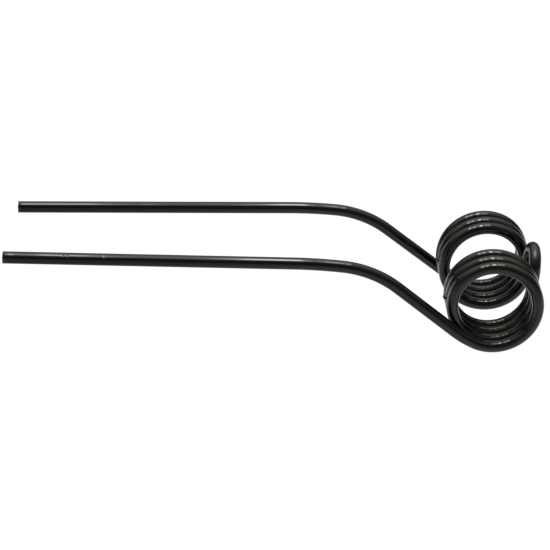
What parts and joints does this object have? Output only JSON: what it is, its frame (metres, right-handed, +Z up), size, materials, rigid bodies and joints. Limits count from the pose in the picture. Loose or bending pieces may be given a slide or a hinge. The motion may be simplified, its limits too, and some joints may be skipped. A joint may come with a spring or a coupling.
{
  "type": "spring tine",
  "caption": "Double spring tine for a hay rake: round spring wire wound into a pair of coils joined by a hairpin loop, with long legs that comb the hay.",
  "frame": {"origin": "on the common axis of the coils, midway between them", "axes": "+X from the leg tips towards the hairpin loop, +Y along the coils' axis, from the first leg to the second, +Z up, with the legs above the coils' axis"},
  "size_m": [0.4225, 0.1174, 0.0796],
  "materials": {
    "black_enamel": "gloss"
  },
  "bodies": {
    "root": {"spring_tine": "black_enamel"}
  },
  "joints": []
}
